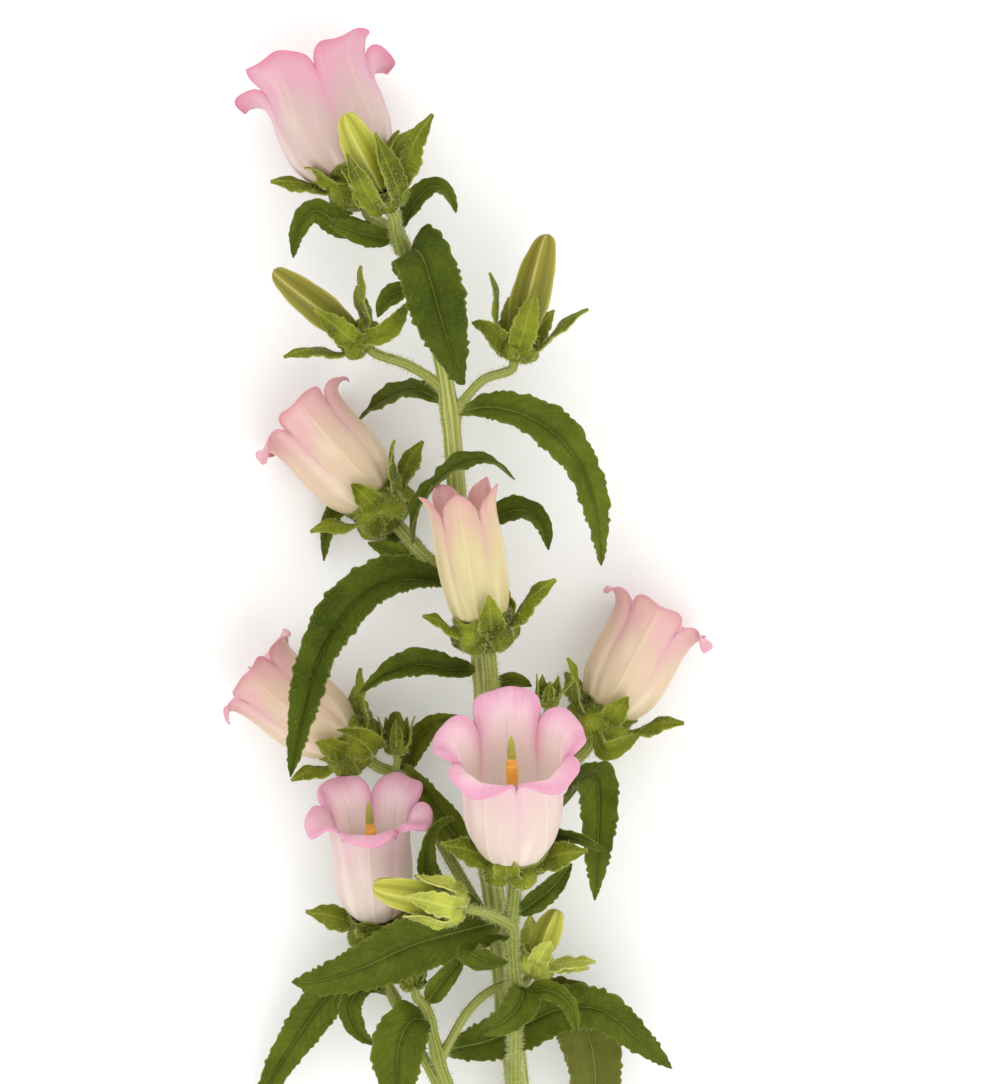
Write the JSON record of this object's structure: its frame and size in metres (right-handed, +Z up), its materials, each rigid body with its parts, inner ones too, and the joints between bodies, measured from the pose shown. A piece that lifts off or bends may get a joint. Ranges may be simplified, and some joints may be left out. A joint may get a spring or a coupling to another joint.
{
  "type": "campanula flower stem",
  "caption": "Cut campanula stem with pink and cream bell blooms, green buds and toothed leaves, lying flat.",
  "frame": {"origin": "on the surface it lies on, under the middle of its box", "axes": "+Y from the cut end to the top bloom, +Z up from the surface, +X to the right"},
  "size_m": [0.1712, 0.4991, 0.1093],
  "materials": {
    "stem": "ridged, downy pale green stem",
    "leaf": "soft dark green leaf, paler beneath",
    "calyx": "bristly fresh green sepals",
    "petal_pink": "silky petal, cream at the foot and pink at the lip",
    "petal_cream": "silky cream petal with dusty pink tips",
    "bud": "smooth yellow green closed petals",
    "pistil": "powdery orange pollen on a green style"
  },
  "bodies": {
    "root": {"bloom_front": "petal_pink", "bloom_low": "petal_pink", "bloom_lower_left": "petal_pink", "bloom_middle": "petal_cream", "bloom_right": "petal_pink", "bloom_top": "petal_pink", "bloom_upper_left": "petal_pink", "bud_calyx_left": "calyx", "bud_calyx_lime": "calyx", "bud_calyx_low": "calyx", "bud_calyx_right": "calyx", "bud_calyx_top": "calyx", "bud_left": "bud", "bud_lime": "bud", "bud_low": "bud", "bud_low_left": "calyx", "bud_right": "bud", "bud_side": "calyx", "bud_top": "bud", "bud_young_right": "calyx", "calyx_front": "calyx", "calyx_low": "calyx", "calyx_lower_left": "calyx", "calyx_middle": "calyx", "calyx_right": "calyx", "calyx_top": "calyx", "calyx_upper_left": "calyx", "leaf_branch": "leaf", "leaf_by_bloom": "leaf", "leaf_front_high": "leaf", "leaf_left_high": "leaf", "leaf_left_long": "leaf", "leaf_left_mid": "leaf", "leaf_left_young": "leaf", "leaf_low_arc": "leaf", "leaf_low_far": "leaf", "leaf_low_fold": "leaf", "leaf_low_front": "leaf", "leaf_low_hanging": "leaf", "leaf_low_left": "leaf", "leaf_low_pale": "leaf", "leaf_low_right": "leaf", "leaf_mid_hanging": "leaf", "leaf_over_stem": "leaf", "leaf_right_hanging": "leaf", "leaf_right_high": "leaf", "leaf_right_mid": "leaf", "leaf_right_spur": "leaf", "leaf_sickle": "leaf", "leaf_top_left": "leaf", "leaf_top_right": "leaf", "leaf_top_under": "leaf", "main_stem": "stem", "pistil_front": "pistil", "pistil_low": "pistil", "pistil_lower_left": "pistil", "pistil_middle": "pistil", "pistil_right": "pistil", "pistil_top": "pistil", "pistil_upper_left": "pistil"}
  },
  "joints": []
}
